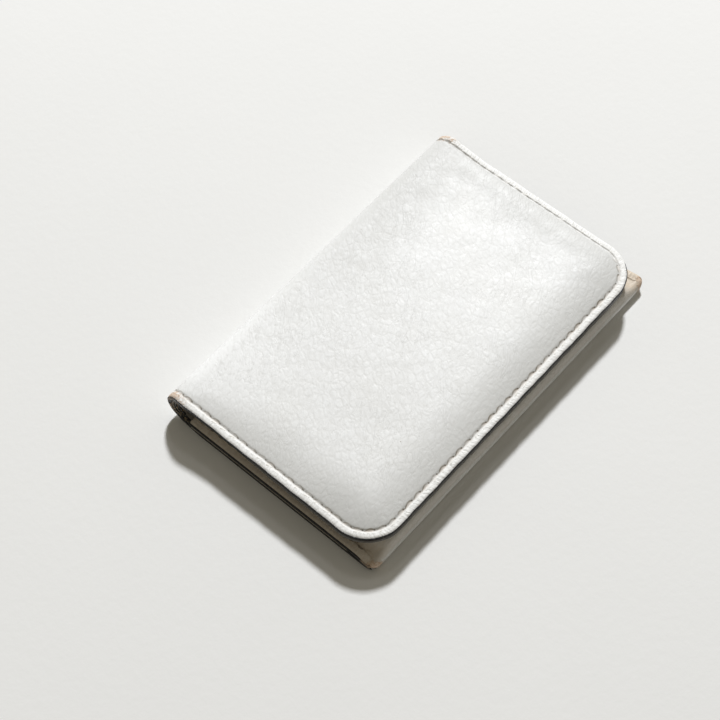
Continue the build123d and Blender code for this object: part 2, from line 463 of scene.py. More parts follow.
def closed_mesh(name, verts, faces, material):
    """A closed mesh with every face turned outwards."""
    piece = finish_mesh(name, verts, faces, material)
    work = bmesh.new()
    work.from_mesh(piece.data)
    bmesh.ops.recalc_face_normals(work, faces=work.faces)
    work.to_mesh(piece.data)
    work.free()
    return piece


def tube_faces(places, ring, first=0):
    """A closed tube's faces: one ring of corners per place, and a cap at each end."""
    faces = []
    for p in range(places - 1):
        for k in range(ring):
            a = first + p * ring + k
            b = first + p * ring + (k + 1) % ring
            faces.append((a, b, b + ring, a + ring))
    faces.append(tuple(first + k for k in range(ring))[::-1])
    faces.append(tuple(first + (places - 1) * ring + k for k in range(ring)))
    return faces


def bead(name, path, surface, thickness, material, outward, tan, swell=0.22, sunk=0.12):
    """A rounded coat along a sheet's cut edge. path is (u, v) points, outward the direction away
    from the sheet in the same flat coordinates, tan how worn the coat is. thickness, swell and
    sunk, how far the coat starts below the surface, are each one number or one per point."""
    path = np.asarray(path, float)
    outward = np.broadcast_to(np.asarray(outward, float), path.shape)
    u, v = path[:, 0], path[:, 1]
    sunk = np.broadcast_to(np.asarray(sunk, float), u.shape)[:, None]
    top = surface(u, v) - sunk * normals_of(surface, u, v)
    down = -normals_of(surface, u, v)
    out = surface(u + outward[:, 0] * 0.05, v + outward[:, 1] * 0.05) - surface(u, v)
    out = out / np.linalg.norm(out, axis=1, keepdims=True)
    thick = np.broadcast_to(np.asarray(thickness, float), u.shape)[:, None] - sunk
    swell = np.broadcast_to(np.asarray(swell, float), u.shape)[:, None]
    middle = top + down * thick / 2
    rough = 1 + 0.10 * waves(np.arange(len(u)) * 0.7, 0 * u, 31, octaves=3, size=9)[:, None]
    rings = []
    for k in range(BEAD_SIDES + 1):
        angle = math.pi * (k / BEAD_SIDES - 0.5)
        rise = -math.sin(angle) * (thick / 2 + 0.05)
        rings.append(middle - down * rise + out * (swell * rough * math.cos(angle) - 0.02))
    rings.append(middle + down * (thick / 2 + 0.03) - out * BEAD_LAP)
    rings.append(middle - down * (thick / 2 + 0.03) - out * BEAD_LAP)
    verts = np.stack(rings, 1).reshape(-1, 3)
    piece = closed_mesh(name, verts, tube_faces(len(u), BEAD_RING), material)
    give(piece, "tan", np.broadcast_to(tan, (BEAD_RING, len(u))).T)
    return piece


def thread_row(name, places, surface, material, radius=THREAD_RADIUS, proud=-0.33, flip=1.0):
    """Stitches of a thick twisted thread. places are (u, v, du, dv): a middle and a direction.
    proud is how far the thread's middle stands above the surface."""
    around, along = THREAD_AROUND, THREAD_ALONG
    half_length = STITCH_LENGTH / 2
    verts, faces = [], []
    for index, (u0, v0, du, dv) in enumerate(places):
        rng = np.random.default_rng(THREAD_SEED + index)
        wobble = rng.uniform(-0.05, 0.05, 3)
        t = np.linspace(-1, 1, along + 1)
        across = STITCH_SLANT * t + wobble[0]
        uu = u0 + du * t * (half_length + wobble[1]) - dv * across
        vv = v0 + dv * t * (half_length + wobble[1]) + du * across
        ground = surface(uu, vv)
        normal = flip * normals_of(surface, uu, vv)
        lift = proud + 0.5 * wobble[2] - np.where(t > 0, 0.42, 0.22) * np.abs(t) ** 5
        line = ground + normal * lift[:, None]
        ahead = np.gradient(line, axis=0)
        ahead /= np.linalg.norm(ahead, axis=1, keepdims=True)
        side = np.cross(ahead, normal)
        side /= np.linalg.norm(side, axis=1, keepdims=True)
        up = np.cross(side, ahead)
        first = len(verts)
        for p in range(along + 1):
            for k in range(around):
                angle = 2 * math.pi * k / around
                twist = 1 + PLY_DEPTH * math.cos(PLIES * angle - PLY_TURN * t[p] * half_length)
                end = 0.62 + 0.38 * (1 - abs(t[p]) ** 4)
                r = radius * twist * end
                round_it = math.cos(angle) * side[p] + THREAD_HEIGHT * math.sin(angle) * up[p]
                verts.append(line[p] + r * round_it)
        faces += tube_faces(along + 1, around, first)
    return closed_mesh(name, verts, faces, material)


# ---------------------------------------------------------------- materials

class Shader:
    """A node material. Heights are in millimetres and the pattern's coordinates are flat ones."""

    def __init__(self, name, roughness, **constant):
        self.material = bpy.data.materials.new(name)
        self.material.use_nodes = True
        self.tree = self.material.node_tree
        self.bsdf = self.tree.nodes["Principled BSDF"]
        self.bsdf.inputs["Roughness"].default_value = roughness
        for socket, value in constant.items():
            self.bsdf.inputs[socket.replace("_", " ")].default_value = value

    def put(self, kind, values=(), **settings):
        node = self.tree.nodes.new("ShaderNode" + kind)
        for key, value in settings.items():
            setattr(node, key, value)
        for socket, value in dict(values).items():
            self.feed(node.inputs[socket], value)
        return node

    def feed(self, socket, value):
        if isinstance(value, bpy.types.NodeSocket):
            self.tree.links.new(value, socket)
        else:
            socket.default_value = value

    def math(self, operation, a, b=0.0, clamp=False):
        return self.put("Math", {0: a, 1: b}, operation=operation, use_clamp=clamp).outputs[0]

    def times(self, first, *factors):
        for factor in factors:
            first = self.math("MULTIPLY", first, factor)
        return first

    def plus(self, a, b):
        return self.math("ADD", a, b)

    def minus(self, a, b):
        return self.math("SUBTRACT", a, b)

    def size_of(self, a):
        return self.math("ABSOLUTE", a)

    def solid(self):
        """Coordinates in the object's own space, in millimetres."""
        place = self.put("TexCoord").outputs["Object"]
        return self.put("VectorMath", {0: place, "Scale": 1 / MM}, operation="SCALE").outputs[0]

    def attribute(self, name, vector=False):
        node = self.put("Attribute", attribute_name=name, attribute_type="GEOMETRY")
        return node.outputs["Vector" if vector else "Fac"]

    def ramp(self, value, low, high, to_low=0.0, to_high=1.0):
        values = {"Value": value, "From Min": low, "From Max": high, "To Min": to_low, "To Max": to_high}
        return self.put("MapRange", values, interpolation_type="SMOOTHSTEP").outputs["Result"]

    def noise(self, where, scale, detail=3.0, rough=0.55, distort=0.0):
        values = {"Vector": where, "Scale": scale, "Detail": detail, "Roughness": rough,
                  "Distortion": distort}
        return self.put("TexNoise", values).outputs["Fac"]

    def cells(self, where, scale, feature="DISTANCE_TO_EDGE"):
        """Distance to a cell's edge, or with feature F1 to its middle."""
        node = self.put("TexVoronoi", {"Vector": where, "Scale": scale}, feature=feature)
        return node.outputs["Distance"]

    def stretch(self, where, by, turn=0.0):
        """Coordinates for a pattern whose features are that many millimetres across, turned."""
        values = {"Vector": where, "Scale": by, "Rotation": (0, 0, turn)}
        return self.put("Mapping", values, vector_type="TEXTURE").outputs["Vector"]

    def mix(self, share, a, b):
        node = self.put("Mix", data_type="RGBA")
        self.feed(node.inputs["Factor"], share)
        for socket, value in (("A", a), ("B", b)):
            target = [i for i in node.inputs if i.name == socket and i.type == "RGBA"][0]
            self.feed(target, value if isinstance(value, bpy.types.NodeSocket) else (*value, 1))
        return [o for o in node.outputs if o.type == "RGBA"][0]

    def bump(self, height_mm, below=None):
        values = {"Height": height_mm, "Distance": MM, "Strength": 1.0}
        if below is not None:
            values["Normal"] = below
        return self.put("Bump", values).outputs["Normal"]

    def done(self, colour, roughness, normal):
        self.feed(self.bsdf.inputs["Base Color"], colour)
        self.feed(self.bsdf.inputs["Roughness"], roughness)
        self.feed(self.bsdf.inputs["Normal"], normal)
        return self.material


# The hide's colours: its white, painted light and shade over it, soil and painted shade beside its thread,
# tan where worn
WHITE = (0.79, 0.795, 0.788)
DULL = (0.765, 0.767, 0.75)
# Painted shade in the grain's lines, creases and hollows
HOLLOW_SHADE = (0.655, 0.65, 0.625)
IVORY = (0.76, 0.735, 0.66)
SPECK = (0.30, 0.25, 0.20)
# Painted shade for the flap's borders, right end and front left corner; painted light for its slope by the
# spine's left half
PAINTED_SHADE_GREY = (0.60, 0.60, 0.58)
CORNER_SHADE_GREY = (0.52, 0.52, 0.50)
PAINTED_LIGHT_WHITE = (0.87, 0.875, 0.866)
# Painted light: the rim outside the thread is made paler than the hide
RIM_LIGHT = (0.88, 0.875, 0.85)
# Soil and painted shade inside the thread: a tint, scallops and needle holes
STAIN_AND_SHADE = (0.56, 0.475, 0.39)
GRIME_AND_SHADE = (0.21, 0.175, 0.125)
NEEDLE_HOLE_SHADE = (0.13, 0.105, 0.075)
# Soil, and painted shade where the soil attribute holds it
SOIL_AND_SHADE = (0.64, 0.55, 0.44)
TAN = (0.52, 0.34, 0.22)
BARE = (0.70, 0.585, 0.47)

BLACK = (0.006, 0.006, 0.0065)
CHIPS = ((0.44, 0.32, 0.215), (0.15, 0.13, 0.115))
THREAD_DOT = (0.33, 0.27, 0.20)


def hide_grain(s, flat, edge):
    """Patterns of the hide: pebbles with fine lines between them, soft strokes that turn to lie
    along a near edge, and long creases with how strong they are from place to place."""
    warp = s.put("TexNoise", {"Vector": flat, "Scale": 0.12, "Detail": 2.0}).outputs["Color"]
    drift = s.put("VectorMath", {0: warp, "Scale": 2.0}, operation="SCALE").outputs[0]
    where = s.put("VectorMath", {0: flat, 1: drift}, operation="ADD").outputs[0]
    across = s.noise(s.stretch(where, (2.0, 1.05, 1), -0.75), 1.0, 2.0, 0.6, 0.3)
    beside_edge = s.noise(s.stretch(where, (2.0, 1.0, 1), -0.08), 1.0, 2.0, 0.6, 0.3)
    inland = s.ramp(s.plus(edge, s.times(s.noise(flat, 0.09), 9.0)), 9.0, 19.0)
    stroke = s.plus(s.times(across, inland), s.times(beside_edge, s.minus(1.0, inland)))
    pebble = s.ramp(s.cells(s.stretch(where, (2.4, 1.5, 1), -0.6), 1.0), 0.0, 0.26)
    fold = s.noise(s.stretch(where, (7.0, 1.6, 1), -0.55), 1.0, 3.0, 0.6, 0.8)
    crease = s.ramp(s.size_of(s.minus(fold, 0.5)), 0.0, 0.045)
    strong = s.ramp(s.noise(flat, 0.045, 3.0, 0.6), 0.38, 0.62, 0.15, 1.0)
    return pebble, stroke, crease, strong


def hide_white(s, flat, grain):
    """The hide's white, with duller patches, grain lines and creases darkened as painted shade, smudges and
    a few specks.
    """
    pebble, _, crease, strong = grain
    colour = s.mix(s.ramp(s.noise(flat, 0.06, 4.0, 0.6), 0.3, 0.75), WHITE, DULL)
    # Darker in the lines between the pebbles and along the creases: painted shade
    colour = s.mix(s.times(s.minus(1.0, pebble), 0.26), colour, HOLLOW_SHADE)
    colour = s.mix(s.times(s.minus(1.0, crease), s.times(strong, 0.12)), colour, HOLLOW_SHADE)
    smudge = s.ramp(s.noise(flat, 0.11, 3.0, 0.7), 0.64, 0.84, 0.0, 0.15)
    colour = s.mix(smudge, colour, IVORY)
    specks = s.ramp(s.cells(flat, 0.13, "F1"), 0.015, 0.030, 0.75, 0.0)
    return s.mix(specks, colour, SPECK)


def hide_light_and_shade(s, colour, u, v, edge):
    """Painted light and shade over the flap: greyer borders inside the thread, most along the front, and a
    greyer right end by the spine and front left corner, all painted shade; a paler slope by the spine's
    left half, painted light."""
    # Greyer borders inside the thread, most along the front: painted shade
    border = s.times(s.ramp(edge, STITCH_INSET + 0.4, STITCH_INSET + 1.0),
                     s.ramp(edge, 2.5, 16.0, 0.62, 0.0), s.ramp(v, ROLL, ROLL + 12, 0.35, 1.0))
    border = s.math("MULTIPLY", border, s.ramp(v, FLAP_V - 22, FLAP_V - 5, 1.0, 1.35), clamp=True)
    # A greyer right end by the spine: painted shade
    at_spine = s.times(s.ramp(v, ROLL, ROLL + 18, 1.0, 0.0), s.ramp(u, -15, 45, 0.0, 0.50))
    colour = s.mix(s.math("MAXIMUM", border, at_spine), colour, PAINTED_SHADE_GREY)
    # A paler slope by the spine's left half: painted light
    lighter = s.times(s.ramp(v, ROLL - 2, ROLL + 28, 0.85, 0.0), s.ramp(u, -36, 2, 1.0, 0.0))
    colour = s.mix(s.times(lighter, s.ramp(edge, 3.0, 9.0)), colour, PAINTED_LIGHT_WHITE)
    # A greyer front left corner: painted shade
    at_corner = s.times(s.ramp(v, FLAP_V - 28, FLAP_V - 12), s.ramp(u, -51, -34, 0.55, 0.0),
                        s.ramp(v, FLAP_V, FLAP_V + 2, 1.0, 0.0))
    return s.mix(at_corner, colour, CORNER_SHADE_GREY)


def thread_soil_and_shade(s, colour, flat, u, v, edge, turn):
    """The rim outside the thread is painted paler, as painted light. Soil and painted shade draw a scallop
    inside each stitch, from one needle hole to the next, tint the hide between it and the thread and darken
    each needle hole. turn goes round once from stitch to stitch. The soil and shade are strongest along the
    flap's front and weakest on its right side, as painted shade."""
    # The rim outside the thread is painted paler: painted light
    colour = s.mix(s.ramp(edge, STITCH_INSET, STITCH_INSET + 0.4, 0.75, 0.0), colour, RIM_LIGHT)
    uneven = s.times(s.plus(s.noise(flat, 0.55, 3.0, 0.6), s.noise(flat, 0.10, 2.0)), 0.5)
    # How strong the soil and shade are: most along the front and left, least on the right, as painted shade
    at_front = s.ramp(v, FLAP_V - 9, FLAP_V - 5)
    soil_shade_strength = s.math("MAXIMUM", at_front, s.ramp(u, 30.0, 40.0, 0.75, 0.15))

    swing = s.size_of(s.math("COSINE", s.times(s.minus(turn, 0.5), 0.5)))
    beyond = s.minus(edge, s.plus(s.times(swing, 0.55), STITCH_INSET + 0.36))
    inside = s.times(s.ramp(beyond, -0.25, 0.0, 1.0, 0.0), s.ramp(edge, STITCH_INSET, STITCH_INSET + 0.3),
                     s.ramp(uneven, 0.40, 0.60, 0.15, 0.60), soil_shade_strength)
    # Tint between each scallop and the thread: soil and painted shade
    colour = s.mix(inside, colour, STAIN_AND_SHADE)
    # The scallop itself: soil and painted shade
    arc = s.times(s.ramp(s.size_of(beyond), 0.08, 0.26, 1.0, 0.0),
                  s.ramp(uneven, 0.40, 0.58, 0.15, 0.80), soil_shade_strength)
    colour = s.mix(arc, colour, GRIME_AND_SHADE)

    # The needle holes are darkened: painted shade
    needle = s.ramp(s.math("COSINE", s.minus(turn, 2.6)), 0.84, 0.98)
    from_hole = s.size_of(s.minus(edge, STITCH_INSET + 0.58))
    pit = s.times(s.ramp(from_hole, 0.1, 0.3, 0.7, 0.0), needle, soil_shade_strength)
    return s.mix(pit, colour, NEEDLE_HOLE_SHADE)


def hide_wear_and_shade(s, colour, flat):
    """Soil and painted shade, and bare tan leather, where the piece's own attributes put them, and how worn
    it is.
    """
    streaks = s.ramp(s.noise(s.stretch(flat, (1.6, 0.5, 1)), 1.0, 4.0, 0.65), 0.3, 0.75, 0.70, 1.0)
    # The soil attribute holds soil, and painted shade on the pocket's top behind the front fold's crest
    colour = s.mix(s.times(s.attribute("soil"), streaks), colour, SOIL_AND_SHADE)
    tan = s.attribute("tan")
    ragged = s.times(s.minus(s.noise(flat, 0.9, 5.0, 0.7), 0.5), 1.7)
    worn = s.times(s.ramp(s.plus(tan, ragged), 0.40, 0.85), s.ramp(tan, 0.05, 0.45))
    rubbed = s.mix(s.ramp(s.noise(flat, 1.4, 4.0, 0.65), 0.35, 0.65), TAN, BARE)
    return s.mix(s.times(worn, 0.85), colour, rubbed), worn


def hide_relief(s, flat, edge, along, grain, worn):
    """Pebbles and strokes, fine wrinkles across the rim, creases, slow waves, chafed places."""
    pebble, stroke, crease, strong = grain
    normal = s.bump(s.plus(s.times(pebble, 0.019), s.times(stroke, 0.085)))
    row = s.put("CombineXYZ", {"X": s.times(along, STITCH_PITCH), "Y": edge}).outputs[0]
    wrinkle = s.noise(s.stretch(row, (0.62, 2.2, 1), 0.35), 1.0, 2.0, 0.6, 0.3)
    on_rim = s.ramp(edge, STITCH_INSET - 0.2, STITCH_INSET + 0.3, 0.28, 0.0)
    normal = s.bump(s.times(wrinkle, on_rim), normal)
    normal = s.bump(s.times(crease, s.times(strong, 0.022)), normal)
    normal = s.bump(s.times(s.noise(flat, 0.16, 3.0, 0.5, 0.4), 0.04), normal)
    return s.bump(s.times(s.noise(flat, 1.1, 4.0, 0.7), worn, 0.18), normal)


def hide_leather():
    """White fine-grained hide: pebbled, softly creased, with soil and painted shade along its thread,
    painted light and shade over the flap, worn to tan.
    """
    s = Shader("white_hide_leather", 0.5, Specular_IOR_Level=0.3, Coat_Roughness=0.30)
    flat = s.attribute("flat", vector=True)
    u, v, _ = s.put("SeparateXYZ", {0: flat}).outputs
    edge = s.attribute("edge")
    along = s.attribute("along")
    grain = hide_grain(s, flat, edge)
    colour = hide_light_and_shade(s, hide_white(s, flat, grain), u, v, edge)
    # Darker in the hollows of the strokes: painted shade
    colour = s.mix(s.ramp(grain[1], 0.36, 0.50, 0.28, 0.0), colour, HOLLOW_SHADE)
    colour = thread_soil_and_shade(s, colour, flat, u, v, edge, s.times(along, 2 * math.pi))
    colour, worn = hide_wear_and_shade(s, colour, flat)

    # The flap's crown is polished, less by the spine
    polish = s.times(s.ramp(edge, 4.0, 17.0, 0.03, 0.26), s.ramp(v, ROLL + 2, ROLL + 20, 0.12, 1.0),
                     s.ramp(v, FLAP_V, FLAP_V + 2, 1.0, 0.1))
    s.feed(s.bsdf.inputs["Coat Weight"], polish)
    rough = s.ramp(s.noise(flat, 0.25, 3.0, 0.6), 0.3, 0.7, 0.45, 0.55)
    rough = s.plus(rough, s.times(worn, 0.25))
    return s.done(colour, rough, hide_relief(s, flat, edge, along, grain, worn))


def lining_skin(name, colour, dark):
    """A thin smooth lining leather with a fine even grain and rubbed streaks."""
    s = Shader(name, 0.55, Sheen_Weight=0.08)
    flat = s.attribute("flat", vector=True)
    pebble = s.ramp(s.cells(flat, 2.2), 0.0, 0.25)
    rub = s.noise(s.stretch(flat, (9.0, 6.0, 1)), 1.0, 5.0, 0.6)
    shade = s.mix(s.ramp(rub, 0.3, 0.75, 0.0, 0.55), colour, dark)
    # Darker between the pebbles: painted shade in the grain's lines
    shade = s.mix(s.times(s.minus(1.0, pebble), 0.35), shade, dark)
    height = s.plus(s.times(pebble, 0.012), s.times(s.noise(flat, 5.0), 0.01))
    normal = s.bump(s.times(s.noise(flat, 0.4, 3.0), 0.08), s.bump(height))
    return s.done(shade, s.ramp(rub, 0.3, 0.7, 0.50, 0.62), normal)


def edge_paint(name, paint, chips=CHIPS):
    """Satin edge paint in several coats: uneven, nicked, and cracked off where it wears most."""
    s = Shader(name, 0.25, Specular_IOR_Level=0.2, Coat_Weight=0.06, Coat_Roughness=0.2)
    where = s.solid()
    paler = [c + 0.013 for c in paint]
    tone = s.mix(s.ramp(s.noise(where, 0.8, 4.0, 0.65), 0.35, 0.75), paint, paler)
    crack = s.noise(where, 1.6, 5.0, 0.7, 0.8)
    chipped = s.ramp(s.plus(crack, s.times(s.attribute("tan"), 0.32)), 0.71, 0.76)
    bare = s.mix(s.ramp(s.noise(where, 2.6, 3.0, 0.6), 0.35, 0.65), *chips)
    colour = s.mix(chipped, tone, bare)
    rough = s.ramp(s.plus(s.noise(where, 1.2, 3.0), s.times(chipped, 0.6)), 0.35, 1.0, 0.22, 0.75)
    normal = s.bump(s.times(s.noise(where, 0.9, 4.0, 0.6), 0.16))
    normal = s.bump(s.times(chipped, -0.09), normal)
    return s.done(colour, rough, normal)


def waxed_thread(name, lighter, greyed):
    """Waxed thread, greyed in patches."""
    s = Shader(name, 0.6, Sheen_Weight=0.1)
    where = s.solid()
    soil = s.ramp(s.noise(where, 0.5, 4.0, 0.65), 0.38, 0.72)
    colour = s.mix(soil, lighter, greyed)
    dots = s.ramp(s.noise(where, 2.6, 2.0, 0.6), 0.60, 0.72, 0.0, 0.5)
    colour = s.mix(dots, colour, THREAD_DOT)
    fibre = s.times(s.noise(where, 9.0, 2.0, 0.6), 0.03)
    return s.done(colour, s.ramp(soil, 0.0, 1.0, 0.50, 0.68), s.bump(fibre))


def floor_surface():
    """A plain pale board, not quite even."""
    s = Shader("pale_floor", 0.85, Specular_IOR_Level=0.15)
    where = s.put("TexCoord").outputs["Object"]
    colour = s.mix(s.noise(where, 9.0, 4.0, 0.6), (0.80, 0.80, 0.785), (0.84, 0.84, 0.825))
    normal = s.bump(s.times(s.noise(where, 420.0, 3.0, 0.6), 0.05))
    return s.done(colour, s.ramp(s.noise(where, 30.0), 0.3, 0.7, 0.80, 0.90), normal)


HIDE_SKIN = hide_leather()
LINING_SKIN = lining_skin("lining_leather", (0.46, 0.43, 0.38), (0.34, 0.31, 0.27))
LEAF_SKIN = lining_skin("grey_leaf_leather", (0.26, 0.25, 0.235), (0.15, 0.145, 0.135))
GUSSET_SKIN = lining_skin("gusset_leather", (0.60, 0.57, 0.51), (0.40, 0.36, 0.30))
RAW_EDGE = lining_skin("raw_gusset_edge", (0.20, 0.18, 0.15), (0.10, 0.09, 0.075))
PAINT = edge_paint("black_edge_paint", BLACK)
SPINE_PAINT = edge_paint("cracked_edge_paint", (0.018, 0.018, 0.018),
                         ((0.40, 0.29, 0.15), (0.18, 0.18, 0.175)))
# Grey edge paint; on the leaf's bead it also stands in for shade under the flap's edge
LEAF_PAINT_AND_SHADE = edge_paint("grey_edge_paint_and_shade", (0.115, 0.112, 0.105))
THREAD = waxed_thread("waxed_thread", (0.84, 0.83, 0.80), (0.74, 0.715, 0.65))
SOILED_THREAD = waxed_thread("soiled_thread", (0.30, 0.255, 0.20), (0.19, 0.155, 0.12))


# ---------------------------------------------------------------- pieces


def bends_with_flap(piece):
    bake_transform(piece)


def bends_with_case(piece):
    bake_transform(piece)


def rides_on_case(piece):
    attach(piece, "case")


def rides_on_flap(piece):
    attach(piece, "flap")


def settle(piece, nodes, moves):
    """Hides the CAD nodes that a piece stands for, and passes the piece to moves."""
    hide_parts(*nodes)
    moves(piece)


def mark(piece, sheet, edge=50.0, along=0.0, tan=0.0, soil=0.0, layer=0.0):
    """Gives a two-faced sheet its flat coordinates and its wear and painted shade, the same on both faces.
    """
    u, v = sheet
    place = np.zeros((2, u.size, 3), np.float32)
    place[..., 0] = u.ravel()
    place[..., 1] = v.ravel()
    place[..., 2] = layer
    place[1, :, 2] += FACES_APART
    attribute = piece.data.attributes.new("flat", "FLOAT_VECTOR", "POINT")
    attribute.data.foreach_set("vector", place.ravel())
    for name, values in (("edge", edge), ("along", along), ("tan", tan), ("soil", soil)):
        give(piece, name, np.tile(np.broadcast_to(values, u.shape).ravel(), 2))


def leather(name, sheet, outer, inner, skins, slot, nodes, moves, **wear_and_shade):
    """A sheet of leather with its wear and painted shade, settled. skins are its face's material and its
    wall's.
    """
    piece = shell(name, sheet, outer, inner, *skins)
    mark(piece, sheet, **wear_and_shade)
    settle(piece, nodes, moves)


def flap_wear(u, v):
    """Tan where the spine's corners rub, a little along the flap's edge."""
    side = FLAP_HALF - np.abs(u)
    roll = 0.95 * bump(v, 4.2, 3.3) * bump(side, 0.0, 2.6)
    inner = 0.42 * bump(v, ROLL + 1, 4.0) * bump(side, 1.0, 2.6)
    return roll + inner


def case_wear(u, v):
    """Tan where the spine's corners and the front fold's two ends rub."""
    side = case_half(v) - np.abs(u)
    roll = 0.6 * bump(v, 0.0, 3.0) * bump(side, 0.0, 1.6)
    ears = 1.5 * bump(v, FOLD_V + FOLD_R * 2.1, 2.4) * bump(side, 0.5, 1.6)
    crease = 0.20 * bump(v, FOLD_V + FOLD_R * math.pi * 0.55, 1.3)
    return roll + ears + crease


def make_flap():
    """The flap's hide, its lining and the slip pocket's leaf under it."""
    sheet = grid(flap_rows(), flap_half_at())
    u, v = sheet
    d, s = flap_edge(u, v)
    leather("hide_flap", sheet, flap_skin, flap_layer(HIDE), [HIDE_SKIN], "white_hide",
            ["flap_outer", "flap_reinforcement"], bends_with_flap,
            edge=d, along=s / FLAP_PITCH, tan=flap_wear(u, v))

    sheet = grid(flap_rows(), flap_half_at(), PLAIN)
    leather("lining_flap", sheet, flap_layer(HIDE), flap_layer(EDGE), [LINING_SKIN],
            "lining_leather", ["flap_lining", "spine_lining"], bends_with_flap, layer=7)

    sheet = grid(flap_rows(LEAF_V, LEAF_INSET), flap_half_at(LEAF_INSET), PLAIN)
    leather("slip_pocket_leaf", sheet, flap_flat(EDGE), flap_flat(EDGE + LEAF_THICK),
            [LEAF_SKIN, LEAF_PAINT_AND_SHADE], "lining_leather", ["flap_slip_pocket"], rides_on_flap, layer=11)

    path, out = flap_outline(LEAF_V)
    path = np.array(path) - LEAF_INSET * np.array(out)
    # The leaf's painted edge is made much thicker than the leaf and dark grey: a dark band that stands in
    # for the shade under the flap's edge
    at_corner = bump(np.abs(path[:, 0]) - path[:, 1], FLAP_HALF - FLAP_V, 9)
    thick = (0.6 + 1.3 * smooth((path[:, 1] - LEAF_V) / 9)) * (1 - 0.3 * at_corner)
    edge = bead("edge_leaf_and_shade_band", path, flap_flat(EDGE - 0.05), thick, LEAF_PAINT_AND_SHADE, out, 0.15, swell=0.24)
    settle(edge, ["flap_slip_pocket"], rides_on_flap)


def flap_outline(start=0.0):
    """The flap's edge from v = start on one side round to the other, and the way out of it."""
    side = steps(start, (CORNER_V, 0.5))[:-1]
    turn = np.linspace(0, math.pi / 2, 44)
    front = steps(-CORNER_U, (CORNER_U, 0.6))[1:-1]
    left = [(-math.cos(a), math.sin(a)) for a in turn]
    right = [(math.cos(a), math.sin(a)) for a in turn[::-1]]
    path = [(-FLAP_HALF, v) for v in side]
    path += [(-CORNER_U + FLAP_CORNER * du, CORNER_V + FLAP_CORNER * dv) for du, dv in left]
    path += [(u, FLAP_V) for u in front]
    path += [(CORNER_U + FLAP_CORNER * du, CORNER_V + FLAP_CORNER * dv) for du, dv in right]
    path += [(FLAP_HALF, v) for v in side[::-1]]
    out = [(-1, 0)] * len(side) + left + [(0, 1)] * len(front) + right + [(1, 0)] * len(side)
    return path, out


def folded_layer(part, number, run):
    """Two surfaces of a turned-in layer inside the roll, and how full it is at each point. The
    stack thins away inwards and towards the ends of its run. The lower half's layers run on under
    the upper half's, so that they stay together as the flap opens."""
    def full(u, v):
        inwards = smooth((np.abs(u) - FLAP_HALF + 3.4) / 2.6)
        return (0.06 + 0.94 * inwards) * (1 - 0.90 * smooth((v - run + 5.5) / 5))

    def depth(u, v, step):
        return EDGE + 0.05 + LAYER_THICK * full(u, v) * (number + step)

    if part == "upper":
        return (lambda u, v: flap_base(u, v, flap_drop(u, v) + depth(u, v, 0)),
                lambda u, v: flap_base(u, v, flap_drop(u, v) + depth(u, v, 0.95)), full)

    def over(u, v):
        tucked = depth(u, v, 0) + 0.07 * smooth(-v / 0.8)
        return case_base(u, v) - tucked[..., None] * normals_of(case_base, u, v)

    def under(u, v):
        return case_base(u, v) - depth(u, v, 0.95)[..., None] * normals_of(case_base, u, v)
    over.side = under.side = -1.0
    return over, under, full


def make_spine_ends():
    """At each end of the spine the lining is turned in several times over, painted and cracked."""
    for side, sign in SIDES.items():
        for number in range(SPINE_LAYERS):
            upper = ("upper", 0.0, [], ROLL + LAYER_RUN)
            lower = ("lower", -2.0 - 0.5 * number, [(0, 0.4)], BACK_V + LAYER_RUN)
            for part, first, through, run in (upper, lower):
                over, under, full = folded_layer(part, number, run)
                end = FLAP_HALF - 0.15 - 0.3 * number
                stop = run - 0.5 * number
                rows = steps(first, *through, (stop, 0.4))
                v, u = np.meshgrid(rows, sign * steps(end - LAYER_REACH, (end, 0.3)), indexing="ij")
                name = f"spine_layer_{part}_{side}_{number + 1}"
                piece = shell(name, (u, v), over, under, LINING_SKIN, SPINE_PAINT)
                mark(piece, (u, v), layer=30 + number)
                along = steps(first, (stop, 0.3))
                path = np.stack([sign * (end - 0.1 * smooth(-along / 0.8)), along], 1)
                thick = 0.76 * full(path[:, 0], along)
                lumps = 0.26 + 0.16 * waves(along, 0 * along, 50 + number, octaves=3, size=4)
                coat = bead(name.replace("layer", "paint"), path, over, np.maximum(thick, 0.2),
                            SPINE_PAINT, (sign, 0), 0.72 - 0.1 * number, swell=lumps)
                for made in (piece, coat):
                    settle(made, ["spine_lining"],
                           bends_with_flap if part == "upper" else bends_with_case)


def make_flap_edge():
    """Paint round the flap's edge, thin and set back along its right side."""
    path, out = flap_outline()
    u, v = np.array(path).T
    right = smooth((u - FLAP_HALF + 3) / 2)
    tan = 0.75 * bump(v, 3.0, 5.0) + 0.35 * bump(v, FLAP_V, 3.0)
    piece = bead("edge_flap", path, flap_layer(0), EDGE, PAINT, out, tan,
                 swell=0.14 - 0.11 * right, sunk=0.12 + 0.22 * right)
    settle(piece, ["flap_outer"], bends_with_flap)


def row_place(s):
    """u, v and direction at s along the flap's row of stitches."""
    if s > ROW / 2:
        u, v, du, dv = row_place(ROW - s)
        return -u, v, du, -dv
    if s < CORNER_V:
        return -(FLAP_HALF - STITCH_INSET), s, 0.0, 1.0
    angle = (s - CORNER_V) / BEND
    if angle < math.pi / 2:
        return (-CORNER_U - BEND * math.cos(angle), CORNER_V + BEND * math.sin(angle),
                math.sin(angle), math.cos(angle))
    return -CORNER_U + s - CORNER_V - BEND * math.pi / 2, FLAP_V - STITCH_INSET, 1.0, 0.0


def flap_under(u, v):
    """The flap's underside where its thread shows: the leaf's face where there is one."""
    on_leaf = smooth((v - LEAF_V + 1.3) / 1.4)[..., None]
    return on_leaf * flap_flat(EDGE + LEAF_THICK)(u, v) + (1 - on_leaf) * flap_layer(EDGE)(u, v)


